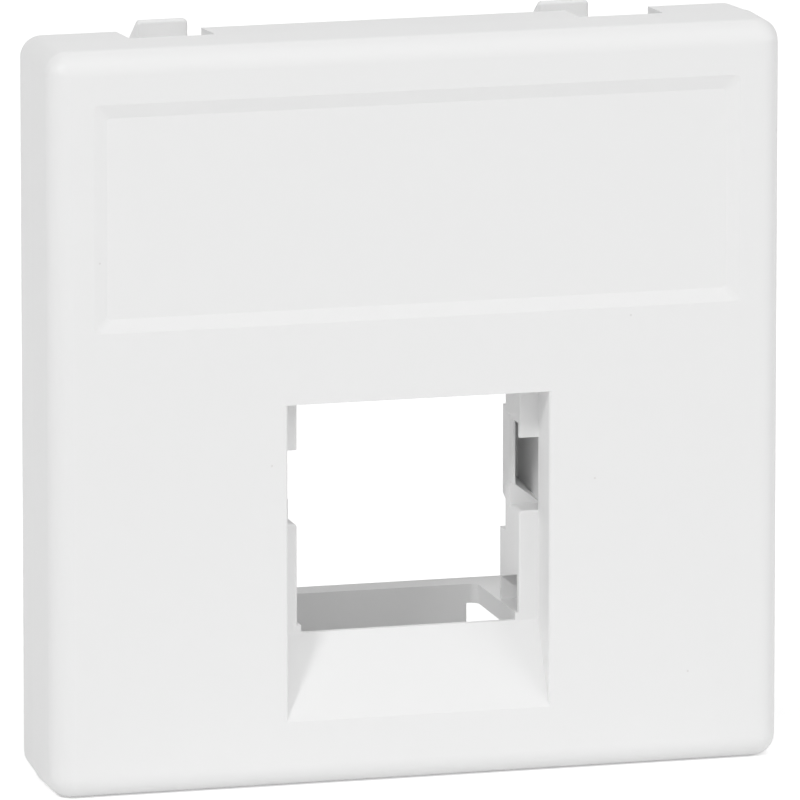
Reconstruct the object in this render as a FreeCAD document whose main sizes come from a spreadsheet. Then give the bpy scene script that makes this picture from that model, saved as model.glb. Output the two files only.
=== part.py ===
# Keystone insert plate: one white moulding, 50 x 50 mm, that snaps into a mounting frame.
# Frame: X to the right, Y from front to back, Z up.
# The origin is the centre of the rear rim, which seats on the mounting frame.
import FreeCAD, Part
import Sketcher
import os

doc = FreeCAD.newDocument("KeystoneInsertPlate")

# Driving dimensions, in millimetres and degrees
sizes = {
    # Face plate and skirt
    "plate_width": "50.0",
    "plate_height": "50.0",
    "plate_depth": "8.95",          # front face to rear rim
    "cap_depth": "5.1",             # front face to the parting line round the sides
    "parting_step": "0.03",         # how far the skirt stands in from the cap
    "skirt_draft": "2.6",           # slope of the skirt's outside
    "skirt_wall": "1.7",            # skirt thickness at the parting line
    "face_thickness": "2.68",
    "front_round": "1.5",           # the edge round the face
    "corner_radius": "1.4",         # the four corners of the plate
    "tray_corner": "0.8",           # the corners inside the skirt
    # Label field
    "label_side": "2.95",           # in from the plate's left and right edges
    "label_margin": "3.45",         # down from the plate's top edge
    "label_height": "15.25",
    "label_depth": "0.25",
    "label_wall": "0.93",           # width of the field's sloping walls
    "label_corner": "1.2",
    # Opening and the scoop at its foot
    "opening_width": "17.9",
    "opening_height": "21.38",
    "opening_margin": "4.49",       # up from the plate's bottom edge
    "opening_edge": "0.2",          # rounding of the upright front edges
    "scoop_height": "5.4",
    "scoop_lip": "0.43",            # thickness of the scoop's rear edge
    # Side walls of the jack holder
    "port_width": "15.25",          # clear width between the walls
    "port_wall": "2.6",
    "port_wall_depth": "3.33",      # reach behind the face
    "tab_drop": "3.6",              # upper tab's lower edge, below the opening's top
    "tab_lip": "0.25",              # thickness of that lower edge
    "tab_undercut": "0.96",         # how much higher the tab ends behind its lip
    "window_height": "4.95",        # gap between the upper tab and the lower block
    "window_strip": "0.97",         # thickness of the strip that closes the gap behind
    "window_relief": "0.25",        # how far the strip stands back from the wall
    "relief_slope": "45.0",         # slope of the relief's ends
    "relief_rise": "1.42",          # relief's lower end, above the lower block
    "cavity_sheet": "0.4",          # wall left beside the cavity behind the gap, at its mouth
    "cavity_wall": "0.5",           # wall left on the cavity's other sides
    "cavity_rise": "1.3",           # how far the cavity's foot climbs towards the port
    "cavity_depth": "3.6",
    "cavity_draft": "8.0",          # slope of the cavity's sides
    "heel_height": "3.36",          # height of the wall's deeper foot
    "heel_depth": "1.29",           # reach of the foot past the wall
    "heel_gap": "1.58",             # recess from the foot down to the rail
    "block_corner": "0.3",          # rounding of the lower block's inner top edge
    "recess_front_wall": "0.5",     # wall left in front of the recess under the foot
    "recess_side_wall": "0.5",      # wall left beside it
    "recess_back_wall": "0.3",      # wall left behind it
    "recess_climb": "0.9",          # how much higher it is at its front
    "holder_edge": "0.15",          # rounding of the edges that show in the opening
    "ledge_corner": "0.6",          # rounding where the ledge meets a rail
    # Lower frame, which takes the jack's fixed lip
    "rail_above_scoop": "0.52",
    "rail_height": "1.31",
    "rail_inset": "0.25",           # how far a rail stands in from the side wall
    "ledge_reach": "11.48",         # rear of the ledge, behind the face
    "ledge_thickness": "2.04",
    "web_width": "13.27",           # deep middle of the ledge
    "web_height": "3.64",
    "floor_thickness": "1.2",
    # Upper frame, which takes the jack's latch
    "latch_gap": "0.5",             # latch bar above the opening's top
    "latch_height": "3.6",
    "latch_lead": "1.0",            # bevel that guides the latch in
    # Stiffening ribs
    "rib_thickness": "1.2",
    "rib_depth": "3.6",             # reach behind the face
    # Snap hooks, and the notches in the rim in front of them
    "hook_spacing": "27.7",
    "hook_width": "3.5",
    "hook_inset": "0.48",           # hook's crest, in from the plate's edge
    "hook_reach": "4.95",           # catch face, behind the rim
    "hook_catch": "1.9",            # height of the catch face
    "hook_flat": "0.5",             # flat on top of the hook
    "hook_length": "4.1",           # catch face to tip
    "hook_slope": "35.5",           # slope of the lead-in
    "hook_corner": "0.3",           # rounding of the hook's two top corners
    "hook_edge": "0.2",             # rounding of the edge round the catch face
    "arm_thickness": "1.5",
    "notch_spacing": "30.73",
    "notch_width": "5.77",
}
sheet = doc.addObject("Spreadsheet::Sheet", "Sizes")
for row, (alias, value) in enumerate(sizes.items(), start=1):
    sheet.set(f"A{row}", alias)
    sheet.set(f"B{row}", value)
    sheet.setAlias(f"B{row}", alias)
doc.recompute()

body = doc.addObject("PartDesign::Body", "InsertPlate")
body.Label = "insert_plate"

# Places along Y that several features share
front = "(-Sizes.plate_depth)"
parting = "(Sizes.cap_depth - Sizes.plate_depth)"
face_back = "(Sizes.face_thickness - Sizes.plate_depth)"
wall_back = f"({face_back} + Sizes.port_wall_depth)"
ledge_back = f"({face_back} + Sizes.ledge_reach)"
ledge_front = f"({ledge_back} - Sizes.ledge_thickness)"

# Heights that several features share
opening_bottom = "(Sizes.opening_margin - Sizes.plate_height / 2)"
opening_top = f"({opening_bottom} + Sizes.opening_height)"
scoop_edge = f"({opening_bottom} + Sizes.scoop_height)"
rail_top = f"({scoop_edge} + Sizes.rail_above_scoop)"
rail_bottom = f"({rail_top} - Sizes.rail_height)"
latch_bottom = f"({opening_top} + Sizes.latch_gap)"
latch_top = f"({latch_bottom} + Sizes.latch_height)"

# Half sizes of the hollow inside the skirt
tray_x = "(Sizes.plate_width / 2 - Sizes.parting_step - Sizes.skirt_wall)"
tray_z = "(Sizes.plate_height / 2 - Sizes.parting_step - Sizes.skirt_wall)"

holder_x = "(Sizes.port_width / 2)"
holder_width = "(Sizes.port_width + 2 * Sizes.port_wall)"

# How closely an edge has to lie on the place it is looked for
tolerance = 0.001


def origin_plane(role):
    return next(item for item in body.Origin.OriginFeatures if item.Role == role)


def new_sketch(name, role, offset):
    """A sketch parallel to an origin plane, offset along the sketch's own normal."""
    sketch = body.newObject("Sketcher::SketchObject", name)
    sketch.AttachmentSupport = [(origin_plane(role), "")]
    sketch.MapMode = "FlatFace"
    sketch.setExpression("AttachmentOffset.Base.z", offset)
    return sketch


def facing_sketch(name, y):
    """A sketch seen from the front, at a place along Y: its axes are X and Z, its normal is -Y."""
    return new_sketch(name, "XZ_Plane", f"-{y}")


def side_sketch(name, x):
    """A sketch seen from the side, at a place along X: its axes are Y and Z, its normal is +X."""
    return new_sketch(name, "YZ_Plane", x)


def pin(sketch, line, direction, expression):
    """Ties one coordinate of a line's first point to the sizes."""
    value = float(sketch.evalExpression(expression))
    constraint = Sketcher.Constraint(direction, -1, 1, line, 1, value)
    index = sketch.addConstraint(constraint)
    sketch.setExpression(f"Constraints[{index}]", expression)


def draw_outline(sketch, corners):
    """A closed outline of straight lines through corners given as pairs of expressions."""
    first = sketch.GeometryCount
    count = len(corners)
    points = []
    for across, up in corners:
        point = FreeCAD.Vector(float(sketch.evalExpression(across)), float(sketch.evalExpression(up)), 0)
        points.append(point)
    for i in range(count):
        sketch.addGeometry(Part.LineSegment(points[i], points[(i + 1) % count]))
    for i, (across, up) in enumerate(corners):
        following = first + (i + 1) % count
        sketch.addConstraint(Sketcher.Constraint("Coincident", first + i, 2, following, 1))
        pin(sketch, first + i, "DistanceX", across)
        pin(sketch, first + i, "DistanceY", up)


def draw_rectangle(sketch, left, right, bottom, top):
    draw_outline(sketch, [(left, bottom), (right, bottom), (right, top), (left, top)])


def pad(name, sketch, length, side="One side", reverse=False):
    feature = body.newObject("PartDesign::Pad", name)
    feature.Profile = sketch
    feature.SideType = side
    feature.Reversed = reverse
    feature.setExpression("Length", length)
    return feature


def pocket(name, sketch, length, reverse=False):
    feature = body.newObject("PartDesign::Pocket", name)
    feature.Profile = sketch
    feature.Reversed = reverse
    feature.setExpression("Length", length)
    return feature


def mirror_across(name, role, originals):
    feature = body.newObject("PartDesign::Mirrored", name)
    feature.Originals = originals
    feature.MirrorPlane = (origin_plane(role), [""])
    body.Tip = feature
    return feature


def round_edges(name, base, chosen, radius):
    """Fillets the edges of a feature that the test accepts."""
    doc.recompute()
    names = []
    for index, edge in enumerate(base.Shape.Edges, start=1):
        if chosen(edge.BoundBox):
            names.append(f"Edge{index}")
    feature = body.newObject("PartDesign::Fillet", name)
    feature.Base = (base, names)
    feature.setExpression("Radius", radius)
    return feature


def number(expression):
    return float(sheet.evalExpression(expression))


def near(a, b):
    return abs(a - b) < tolerance


# Face plate: the cap in front of the parting line, and the skirt behind it
cap_sketch = facing_sketch("CapOutline", parting)
draw_rectangle(
    cap_sketch,
    "-Sizes.plate_width / 2",
    "Sizes.plate_width / 2",
    "-Sizes.plate_height / 2",
    "Sizes.plate_height / 2",
)
pad("Cap", cap_sketch, "Sizes.cap_depth")

skirt_sketch = facing_sketch("SkirtOutline", parting)
draw_rectangle(
    skirt_sketch,
    "Sizes.parting_step - Sizes.plate_width / 2",
    "Sizes.plate_width / 2 - Sizes.parting_step",
    "Sizes.parting_step - Sizes.plate_height / 2",
    "Sizes.plate_height / 2 - Sizes.parting_step",
)
skirt = pad("Skirt", skirt_sketch, "Sizes.plate_depth - Sizes.cap_depth", reverse=True)
skirt.setExpression("TaperAngle", "-Sizes.skirt_draft")


def runs_front_to_back(box):
    return box.YLength > max(box.XLength, box.ZLength)


def lies_on_front(box):
    return near(box.YMax, number(front))


def is_plate_corner(box):
    mitred = box.YLength > tolerance and near(box.XLength, box.ZLength)
    return mitred or runs_front_to_back(box)


face_edge = round_edges("FaceEdge", skirt, lies_on_front, "Sizes.front_round")
round_edges("CornerRound", face_edge, is_plate_corner, "Sizes.corner_radius")

tray_sketch = facing_sketch("TrayOutline", "(0)")
draw_rectangle(tray_sketch, f"-{tray_x}", tray_x, f"-{tray_z}", tray_z)
tray = pocket("Tray", tray_sketch, "Sizes.plate_depth - Sizes.face_thickness", reverse=True)


def is_tray_corner(box):
    upright = runs_front_to_back(box)
    return upright and near(abs(box.Center.x), number(tray_x)) and near(abs(box.Center.z), number(tray_z))


round_edges("TrayCorners", tray, is_tray_corner, "Sizes.tray_corner")

# Label field
label_top = "(Sizes.plate_height / 2 - Sizes.label_margin)"
label_bottom = f"({label_top} - Sizes.label_height)"
label_right = "(Sizes.plate_width / 2 - Sizes.label_side)"
label_sketch = facing_sketch("LabelOutline", front)
draw_rectangle(label_sketch, f"-{label_right}", label_right, label_bottom, label_top)
label = pocket("LabelField", label_sketch, "Sizes.label_depth")
label.setExpression("TaperAngle", "-atan(Sizes.label_wall / Sizes.label_depth)")


def is_label_corner(box):
    behind_front = near(box.YMin, number(front)) and near(box.YLength, number("Sizes.label_depth"))
    return behind_front and box.XLength > tolerance


round_edges("LabelCorners", label, is_label_corner, "Sizes.label_corner")

# Opening
opening_sketch = facing_sketch("OpeningOutline", front)
draw_rectangle(
    opening_sketch,
    "-Sizes.opening_width / 2",
    "Sizes.opening_width / 2",
    opening_bottom,
    opening_top,
)
opening = pocket("Opening", opening_sketch, "Sizes.face_thickness")


def is_opening_edge(box):
    beside = near(abs(box.Center.x), number("Sizes.opening_width / 2"))
    return lies_on_front(box) and beside and box.ZLength > tolerance


round_edges("OpeningEdge", opening, is_opening_edge, "Sizes.opening_edge")

# Scoop that leads from the face up to the jack
scoop_sketch = side_sketch("ScoopProfile", "0")
draw_outline(
    scoop_sketch,
    [
        (front, opening_bottom),
        (f"{face_back} + Sizes.scoop_lip", opening_bottom),
        (f"{face_back} + Sizes.scoop_lip", scoop_edge),
        (face_back, scoop_edge),
    ],
)
pad("Scoop", scoop_sketch, "Sizes.opening_width + 2 * Sizes.opening_edge", side="Symmetric")

# Side wall of the holder: upper tab, gap with a strip behind it, lower block and deeper foot
tab_bottom = f"({opening_top} - Sizes.tab_drop)"
tab_rear_bottom = f"({tab_bottom} + Sizes.tab_undercut)"
block_top = f"({tab_bottom} - Sizes.window_height)"
strip_foot = f"({block_top} + Sizes.relief_rise)"
strip_front = f"({wall_back} - Sizes.window_strip)"
heel_bottom = f"({rail_top} + Sizes.heel_gap)"
heel_top = f"({heel_bottom} + Sizes.heel_height)"
heel_back = f"({wall_back} + Sizes.heel_depth)"
tab_lip_back = f"({face_back} + Sizes.tab_lip)"
wall_sketch = side_sketch("SideWallProfile", holder_x)
draw_outline(
    wall_sketch,
    [
        (face_back, latch_top),
        (face_back, tab_bottom),
        (tab_lip_back, tab_bottom),
        (tab_lip_back, tab_rear_bottom),
        (strip_front, tab_rear_bottom),
        (strip_front, block_top),
        (face_back, block_top),
        (face_back, rail_bottom),
        (heel_back, rail_bottom),
        (heel_back, heel_top),
        (wall_back, heel_top),
        (wall_back, latch_top),
    ],
)
wall = pad("SideWall", wall_sketch, "Sizes.port_wall")

recess_front = f"({face_back} + Sizes.recess_front_wall)"
recess_back = f"({heel_back} - Sizes.recess_back_wall)"
recess_sketch = side_sketch("FootRecessProfile", holder_x)
draw_outline(
    recess_sketch,
    [
        (recess_front, rail_top),
        (recess_back, rail_top),
        (recess_back, heel_bottom),
        (recess_front, f"{heel_bottom} + Sizes.recess_climb"),
    ],
)
recess = pocket("FootRecess", recess_sketch, "Sizes.port_wall - Sizes.recess_side_wall", reverse=True)

relief_sketch = side_sketch("StripRelief", holder_x)
draw_rectangle(
    relief_sketch,
    f"{strip_front} - Sizes.window_relief",
    f"{wall_back} + Sizes.window_relief",
    f"{strip_foot} - Sizes.window_relief",
    f"{tab_rear_bottom} + Sizes.window_relief",
)
relief = pocket("WindowRelief", relief_sketch, "Sizes.window_relief", reverse=True)
relief.setExpression("TaperAngle", "-Sizes.relief_slope")

# Deep cavity in the strip, and the housing that closes it at the back
holder_outside = f"({holder_x} + Sizes.port_wall)"
cavity_inside = f"({holder_x} + Sizes.cavity_sheet)"
cavity_outside = f"({holder_outside} - Sizes.cavity_wall)"
housing_sketch = facing_sketch("HousingOutline", wall_back)
draw_rectangle(
    housing_sketch,
    f"{holder_x} + Sizes.window_relief",
    holder_outside,
    f"{block_top} - Sizes.cavity_wall",
    f"{tab_rear_bottom} + Sizes.cavity_wall",
)
housing_depth = "Sizes.cavity_depth - Sizes.window_strip + Sizes.cavity_wall"
housing = pad("Housing", housing_sketch, housing_depth, reverse=True)
housing.setExpression("TaperAngle", "-Sizes.cavity_draft")

cavity_sketch = facing_sketch("CavityOutline", strip_front)
draw_outline(
    cavity_sketch,
    [
        (cavity_inside, f"{block_top} + Sizes.cavity_rise"),
        (cavity_outside, block_top),
        (cavity_outside, tab_rear_bottom),
        (cavity_inside, tab_rear_bottom),
    ],
)
cavity = pocket("Cavity", cavity_sketch, "Sizes.cavity_depth")
cavity.setExpression("TaperAngle", "-Sizes.cavity_draft")

# Rail under the side wall, and the arm that carries the latch bar
rail_sketch = side_sketch("RailProfile", f"{holder_x} - Sizes.rail_inset")
draw_rectangle(rail_sketch, face_back, ledge_back, rail_bottom, rail_top)
rail = pad("Rail", rail_sketch, "Sizes.port_wall + Sizes.rail_inset")

latch_arm_sketch = side_sketch("LatchArmProfile", holder_x)
draw_rectangle(latch_arm_sketch, face_back, ledge_back, latch_bottom, latch_top)
latch_arm = pad("LatchArm", latch_arm_sketch, "Sizes.port_wall")

# Ribs that tie the holder to the skirt above and below
rib_back = f"({face_back} + Sizes.rib_depth)"
rib_sketch = side_sketch("RibProfile", f"{holder_x} + Sizes.port_wall - Sizes.rib_thickness")
draw_rectangle(rib_sketch, face_back, rib_back, latch_top, tray_z)
draw_rectangle(rib_sketch, face_back, rib_back, f"-{tray_z}", rail_bottom)
rib = pad("Rib", rib_sketch, "Sizes.rib_thickness")
mirror_across("HolderSides", "YZ_Plane", [wall, recess, relief, housing, cavity, rail, latch_arm, rib])

# Ledge between the rails, with its deep middle and the floor that carries it
ledge_sketch = side_sketch("LedgeProfile", "0")
draw_rectangle(ledge_sketch, ledge_front, ledge_back, rail_bottom, rail_top)
pad("Ledge", ledge_sketch, holder_width, side="Symmetric")

web_bottom = f"({rail_top} - Sizes.web_height)"
floor_bottom = f"({web_bottom} - Sizes.floor_thickness)"
web_sketch = side_sketch("LedgeWebProfile", "0")
draw_outline(
    web_sketch,
    [
        (face_back, floor_bottom),
        (ledge_back, floor_bottom),
        (ledge_back, rail_top),
        (ledge_front, rail_top),
        (ledge_front, web_bottom),
        (face_back, web_bottom),
    ],
)
pad("LedgeWeb", web_sketch, "Sizes.web_width", side="Symmetric")

# Latch bar, bevelled where the jack's latch rides in
latch_sketch = side_sketch("LatchBarProfile", "0")
draw_outline(
    latch_sketch,
    [
        (ledge_front, latch_bottom),
        (f"{ledge_back} - Sizes.latch_lead", latch_bottom),
        (ledge_back, f"{latch_bottom} + Sizes.latch_lead"),
        (ledge_back, latch_top),
        (ledge_front, latch_top),
    ],
)
pad("LatchBar", latch_sketch, holder_width, side="Symmetric")

# Snap hooks: one on top and one below in each sketch, then mirrored to the other side
hook_crest = "(Sizes.plate_height / 2 - Sizes.hook_inset)"
arm_outside = f"({hook_crest} - Sizes.hook_catch)"
arm_inside = f"({arm_outside} - Sizes.arm_thickness)"
hook_tip = "(Sizes.hook_reach + Sizes.hook_length)"
slope_run = "(Sizes.hook_length - Sizes.hook_flat)"
tip_outside = f"({hook_crest} - {slope_run} * tan(Sizes.hook_slope))"
hook_sketch = side_sketch("HookProfile", "Sizes.hook_spacing / 2")
for sign in ("", "-"):
    draw_outline(
        hook_sketch,
        [
            (face_back, f"{sign}{arm_inside}"),
            (face_back, f"{sign}{arm_outside}"),
            ("Sizes.hook_reach", f"{sign}{arm_outside}"),
            ("Sizes.hook_reach", f"{sign}{hook_crest}"),
            ("Sizes.hook_reach + Sizes.hook_flat", f"{sign}{hook_crest}"),
            (hook_tip, f"{sign}{tip_outside}"),
            (hook_tip, f"{sign}{arm_inside}"),
        ],
    )
hook = pad("HookPair", hook_sketch, "Sizes.hook_width", side="Symmetric")
mirror_across("FourHooks", "YZ_Plane", [hook])

# Notches in the rim, cut as far as the parting line
notch_left = "Sizes.notch_spacing / 2 - Sizes.notch_width / 2"
notch_right = "Sizes.notch_spacing / 2 + Sizes.notch_width / 2"
notch_sketch = facing_sketch("NotchOutline", "(0)")
draw_rectangle(notch_sketch, notch_left, notch_right, tray_z, "Sizes.plate_height / 2")
draw_rectangle(notch_sketch, notch_left, notch_right, "-Sizes.plate_height / 2", f"-{tray_z}")
notch = pocket("NotchPair", notch_sketch, "Sizes.plate_depth - Sizes.cap_depth", reverse=True)
notches = mirror_across("FourNotches", "YZ_Plane", [notch])


def is_hook_corner(box):
    on_hook = box.YMin > number("Sizes.hook_reach") - tolerance and box.YLength > tolerance
    return on_hook and box.XLength < tolerance and abs(box.Center.z) > number(arm_outside) + tolerance


hook_corners = round_edges("HookCorners", notches, is_hook_corner, "Sizes.hook_corner")


def is_catch_edge(box):
    on_catch = near(box.YMin, number("Sizes.hook_reach")) and box.YLength < tolerance
    return on_catch and abs(box.Center.z) > number(arm_outside) + tolerance


catch_round = round_edges("CatchEdges", hook_corners, is_catch_edge, "Sizes.hook_edge")


def is_block_corner(box):
    on_block = near(abs(box.Center.x), number(holder_x)) and near(box.Center.z, number(block_top))
    return on_block and box.YLength > tolerance and box.ZLength < tolerance


block_round = round_edges("BlockCorners", catch_round, is_block_corner, "Sizes.block_corner")


def is_holder_edge(box):
    on_wall = near(box.YMin, number(face_back)) and near(abs(box.Center.x), number(holder_x))
    shows = number(scoop_edge) < box.Center.z < number(opening_top)
    return on_wall and shows and box.ZLength > tolerance


holder_round = round_edges("HolderEdges", block_round, is_holder_edge, "Sizes.holder_edge")


def is_ledge_corner(box):
    beside_rail = near(abs(box.Center.x), number(f"{holder_x} - Sizes.rail_inset"))
    return beside_rail and near(box.YMin, number(ledge_front)) and box.YLength < tolerance


ledge_round = round_edges("LedgeCorners", holder_round, is_ledge_corner, "Sizes.ledge_corner")
body.Tip = ledge_round
doc.recompute()

# Nothing is written unless every object recomputed and the plate is one sound solid
for item in doc.Objects:
    if "Invalid" in item.State or "Error" in item.State:
        raise RuntimeError(f"{item.Name} failed: {item.State}")
if body.Shape.isNull() or not body.Shape.isValid():
    raise RuntimeError(f"{body.Label} has no valid shape")
if len(body.Shape.Solids) != 1:
    raise RuntimeError(f"{body.Label} is {len(body.Shape.Solids)} solids, not one")
os.makedirs("parts", exist_ok=True)
body.Shape.exportStep(f"parts/{body.Label}.step")
print(f"{body.Label}: {body.Shape.Volume:.1f} mm3, box {body.Shape.BoundBox}")
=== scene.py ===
import bmesh
import bpy
import math
from mathutils import Matrix, Vector


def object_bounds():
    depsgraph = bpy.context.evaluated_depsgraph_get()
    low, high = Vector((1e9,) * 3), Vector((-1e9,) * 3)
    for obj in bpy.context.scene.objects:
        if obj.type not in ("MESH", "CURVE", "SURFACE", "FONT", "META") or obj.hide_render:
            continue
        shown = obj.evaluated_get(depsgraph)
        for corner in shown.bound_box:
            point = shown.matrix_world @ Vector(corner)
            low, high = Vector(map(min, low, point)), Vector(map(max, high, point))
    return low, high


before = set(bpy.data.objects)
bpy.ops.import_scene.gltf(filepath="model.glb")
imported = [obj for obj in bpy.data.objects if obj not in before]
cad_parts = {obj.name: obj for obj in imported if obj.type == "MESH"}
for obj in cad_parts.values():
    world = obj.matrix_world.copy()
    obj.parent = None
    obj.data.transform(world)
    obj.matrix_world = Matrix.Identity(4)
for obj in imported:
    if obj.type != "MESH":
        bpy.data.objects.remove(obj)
cadLow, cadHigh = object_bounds()
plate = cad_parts["insert_plate"]
scene = bpy.context.scene
scene.view_settings.view_transform = "Standard"
print("plate loaded:", [round(side * 1000, 2) for side in cadHigh - cadLow], "mm")


def addNode(tree, kind, **settings):
    node = tree.nodes.new(kind)
    for name, value in settings.items():
        setattr(node, name, value)
    return node


# faint dust grains on the face: place from its middle, with the depth behind the front, in metres
dustLook = {
    "places": [
        (-0.02165, 0.00011, 0.01103),
        (0.01454, 0, 0.00573),
        (-0.01005, 0, -0.00312),
        (0.01209, 0, -0.00516),
        (0.01857, 0, -0.01866),
    ],
    "radius": 0.00011,
    "colour": (0.70, 0.69, 0.68, 1),
}


# one grain: 1 in its middle, fading to 0 at its radius
def makeDustGroup():
    group = bpy.data.node_groups.new("dustGrain", "ShaderNodeTree")
    group.interface.new_socket("Place", in_out="INPUT", socket_type="NodeSocketVector")
    group.interface.new_socket("Centre", in_out="INPUT", socket_type="NodeSocketVector")
    group.interface.new_socket("Radius", in_out="INPUT", socket_type="NodeSocketFloat")
    group.interface.new_socket("Mask", in_out="OUTPUT", socket_type="NodeSocketFloat")
    inside = addNode(group, "NodeGroupInput")
    outside = addNode(group, "NodeGroupOutput")
    gap = addNode(group, "ShaderNodeVectorMath", operation="DISTANCE")
    fade = addNode(group, "ShaderNodeMapRange", interpolation_type="SMOOTHSTEP")
    fade.inputs["To Min"].default_value = 1
    fade.inputs["To Max"].default_value = 0
    group.links.new(inside.outputs["Place"], gap.inputs[0])
    group.links.new(inside.outputs["Centre"], gap.inputs[1])
    group.links.new(gap.outputs["Value"], fade.inputs["Value"])
    group.links.new(inside.outputs["Radius"], fade.inputs["From Max"])
    group.links.new(fade.outputs["Result"], outside.inputs["Mask"])
    return group


# white moulding: satin, with a fine eroded grain
plasticLook = {
    "white": (0.847, 0.847, 0.846, 1),
    "shade": (0.841, 0.842, 0.841, 1),
    "cloudScale": 70,           # soft tone clouds, about 14 mm across
    "cloudDetail": 3,
    "grainScale": 5200,         # eroded mould grain, about 0.2 mm across
    "grainDetail": 2,
    "grainDepth": 0.000006,
    "grainStrength": 0.35,
    "smoothest": 0.40,          # roughness where the clouds are darkest
    "roughest": 0.52,           # and where they are lightest
    "reflection": 0.45,
}


def makePlastic():
    material = bpy.data.materials.new("whitePlastic")
    material.use_nodes = True
    tree = material.node_tree
    shader = tree.nodes["Principled BSDF"]
    shader.inputs["Specular IOR Level"].default_value = plasticLook["reflection"]
    place = addNode(tree, "ShaderNodeTexCoord")

    cloud = addNode(tree, "ShaderNodeTexNoise")
    cloud.inputs["Scale"].default_value = plasticLook["cloudScale"]
    cloud.inputs["Detail"].default_value = plasticLook["cloudDetail"]
    tree.links.new(place.outputs["Object"], cloud.inputs["Vector"])
    tone = addNode(tree, "ShaderNodeMix", data_type="RGBA")
    tone.inputs["A"].default_value = plasticLook["shade"]
    tone.inputs["B"].default_value = plasticLook["white"]
    tree.links.new(cloud.outputs["Fac"], tone.inputs["Factor"])

    dustGroup = makeDustGroup()
    dusted = tone
    for x, depth, z in dustLook["places"]:
        grain = addNode(tree, "ShaderNodeGroup", node_tree=dustGroup)
        grain.inputs["Centre"].default_value = (x, cadLow.y + depth, z)
        grain.inputs["Radius"].default_value = dustLook["radius"]
        tree.links.new(place.outputs["Object"], grain.inputs["Place"])
        mixed = addNode(tree, "ShaderNodeMix", data_type="RGBA")
        mixed.inputs["B"].default_value = dustLook["colour"]
        tree.links.new(grain.outputs["Mask"], mixed.inputs["Factor"])
        tree.links.new(dusted.outputs["Result"], mixed.inputs["A"])
        dusted = mixed
    tree.links.new(dusted.outputs["Result"], shader.inputs["Base Color"])

    grainNoise = addNode(tree, "ShaderNodeTexNoise")
    grainNoise.inputs["Scale"].default_value = plasticLook["grainScale"]
    grainNoise.inputs["Detail"].default_value = plasticLook["grainDetail"]
    tree.links.new(place.outputs["Object"], grainNoise.inputs["Vector"])
    gloss = addNode(tree, "ShaderNodeMapRange")
    gloss.inputs["To Min"].default_value = plasticLook["smoothest"]
    gloss.inputs["To Max"].default_value = plasticLook["roughest"]
    tree.links.new(cloud.outputs["Fac"], gloss.inputs["Value"])
    tree.links.new(gloss.outputs["Result"], shader.inputs["Roughness"])
    bump = addNode(tree, "ShaderNodeBump")
    bump.inputs["Strength"].default_value = plasticLook["grainStrength"]
    bump.inputs["Distance"].default_value = plasticLook["grainDepth"]
    tree.links.new(grainNoise.outputs["Fac"], bump.inputs["Height"])
    tree.links.new(bump.outputs["Normal"], shader.inputs["Normal"])
    return material


plate.data.materials.clear()
plate.data.materials.append(makePlastic())
print("plate finished in white plastic")


# 1 for the rays that see the white surroundings, 0 for the rays that carry light
def addSeenRay(tree):
    rays = addNode(tree, "ShaderNodeLightPath")
    seen = rays.outputs["Is Camera Ray"]
    for name in ("Is Glossy Ray", "Is Transmission Ray"):
        either = addNode(tree, "ShaderNodeMath", operation="MAXIMUM")
        tree.links.new(seen, either.inputs[0])
        tree.links.new(rays.outputs[name], either.inputs[1])
        seen = either.outputs["Value"]
    return seen


# the floor the plate stands on
floorLook = {
    "halfWidth": 1.6,
    "colour": (0.92, 0.92, 0.92, 1),
    "glow": 0.45,               # what the camera sees on top of the lit floor
}


def makeFloor():
    shape = bmesh.new()
    lift = Matrix.Translation((0, 0, cadLow.z))
    bmesh.ops.create_grid(shape, x_segments=1, y_segments=1, size=floorLook["halfWidth"], matrix=lift)
    mesh = bpy.data.meshes.new("floor")
    shape.to_mesh(mesh)
    shape.free()
    floor = bpy.data.objects.new("floor", mesh)
    scene.collection.objects.link(floor)
    material = bpy.data.materials.new("paleFloor")
    material.use_nodes = True
    tree = material.node_tree
    tree.nodes.remove(tree.nodes["Principled BSDF"])
    matt = addNode(tree, "ShaderNodeBsdfDiffuse")
    matt.inputs["Color"].default_value = floorLook["colour"]
    glow = addNode(tree, "ShaderNodeEmission")
    strength = addNode(tree, "ShaderNodeMath", operation="MULTIPLY")
    strength.inputs[1].default_value = floorLook["glow"]
    tree.links.new(addSeenRay(tree), strength.inputs[0])
    tree.links.new(strength.outputs["Value"], glow.inputs["Strength"])
    both = addNode(tree, "ShaderNodeAddShader")
    tree.links.new(matt.outputs["BSDF"], both.inputs[0])
    tree.links.new(glow.outputs["Emission"], both.inputs[1])
    tree.links.new(both.outputs["Shader"], tree.nodes["Material Output"].inputs["Surface"])
    mesh.materials.append(material)


makeFloor()
print("floor laid")


# the light tent: brightest towards its side and dark behind, but plain white to look at
tentLook = {
    "side": (0, -0.6, 0.8),
    "level": 0.955,
}


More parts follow.
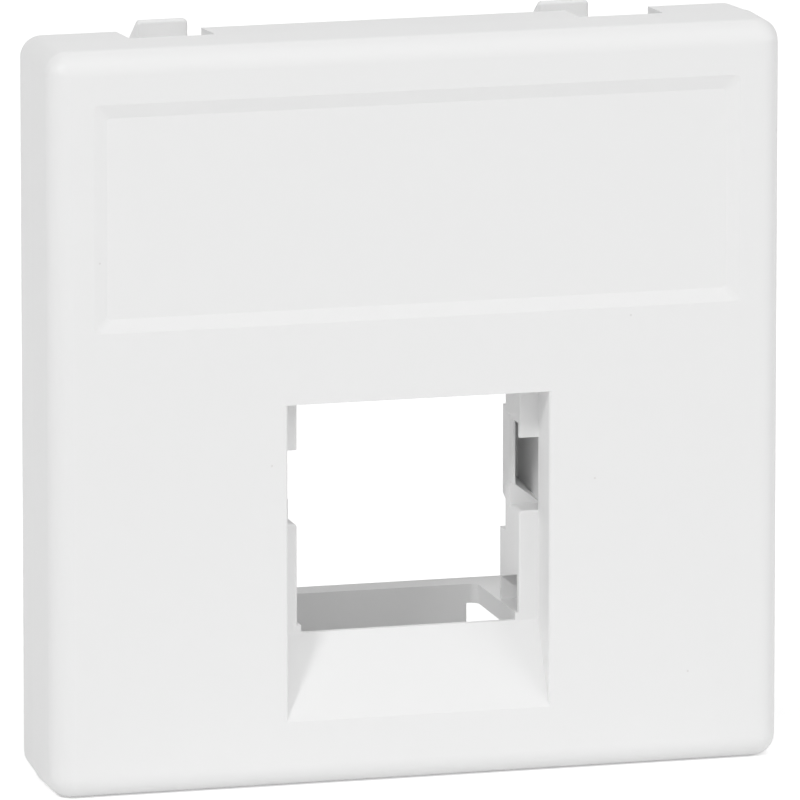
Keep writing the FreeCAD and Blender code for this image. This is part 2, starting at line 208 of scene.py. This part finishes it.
def makeTent():
    world = bpy.data.worlds.new("tent")
    scene.world = world
    world.use_nodes = True
    tree = world.node_tree
    tent = tree.nodes["Background"]
    tent.inputs["Color"].default_value = (1, 1, 1, 1)
    place = addNode(tree, "ShaderNodeTexCoord")
    towards = addNode(tree, "ShaderNodeVectorMath", operation="DOT_PRODUCT")
    towards.inputs[1].default_value = Vector(tentLook["side"]).normalized()
    tree.links.new(place.outputs["Generated"], towards.inputs[0])
    lit = addNode(tree, "ShaderNodeMapRange")
    lit.inputs["To Max"].default_value = tentLook["level"]
    tree.links.new(towards.outputs["Value"], lit.inputs["Value"])
    strength = addNode(tree, "ShaderNodeMix", data_type="FLOAT")
    strength.inputs["B"].default_value = 1
    tree.links.new(addSeenRay(tree), strength.inputs["Factor"])
    tree.links.new(lit.outputs["Result"], strength.inputs["A"])
    tree.links.new(strength.outputs["Result"], tent.inputs["Strength"])


makeTent()
print("tent raised")


# round softboxes: the side of the plate each stands on, its width in metres and its power in watts
softboxDistance = 1.5
softboxLook = {
    "keyLight": {"side": (-0.62, -0.515, 0.593), "width": 0.26, "power": 6.2},
    "rightFill": {"side": (0.82, -0.5, 0.3), "width": 0.86, "power": 3.8},
    "leftRim": {"side": (-1, 0.12, 0.5), "width": 0.6, "power": 0.9},
    "backLight": {"side": (0.15, 0.7, 0.7), "width": 0.9, "power": 2.0},
}


def makeSoftbox(name, look):
    lamp = bpy.data.lights.new(name, "AREA")
    lamp.shape = "DISK"
    lamp.size = look["width"]
    lamp.energy = look["power"]
    softbox = bpy.data.objects.new(name, lamp)
    side = Vector(look["side"]).normalized()
    softbox.location = side * softboxDistance
    softbox.rotation_euler = (-side).to_track_quat("-Z", "Y").to_euler()
    softbox.visible_camera = False
    scene.collection.objects.link(softbox)


for softboxName, softbox in softboxLook.items():
    makeSoftbox(softboxName, softbox)
print("studio lit:", len(softboxLook), "softboxes")


# the view: a long lens, a little to the left and above
cameraLook = {
    "azimuth": 15.308,          # degrees to the left
    "elevation": 11.559,        # degrees above
    "distance": 0.90064,        # metres
    "lens": 613.93,             # millimetres
    "aside": -0.001264,         # the middle of the picture from the middle of the face
    "above": 0.000760,
}


def makeCamera():
    turn = math.radians(cameraLook["azimuth"])
    rise = math.radians(cameraLook["elevation"])
    back = Vector((-math.sin(turn) * math.cos(rise), -math.cos(turn) * math.cos(rise), math.sin(rise)))
    facing = (-back).to_track_quat("-Z", "Y")
    aim = Vector((0, cadLow.y, 0)) + facing @ Vector((cameraLook["aside"], cameraLook["above"], 0))
    camera = bpy.data.objects.new("camera", bpy.data.cameras.new("camera"))
    camera.data.lens = cameraLook["lens"]
    camera.location = aim + back * cameraLook["distance"]
    camera.rotation_euler = facing.to_euler()
    scene.collection.objects.link(camera)
    scene.camera = camera


makeCamera()
print("camera set")
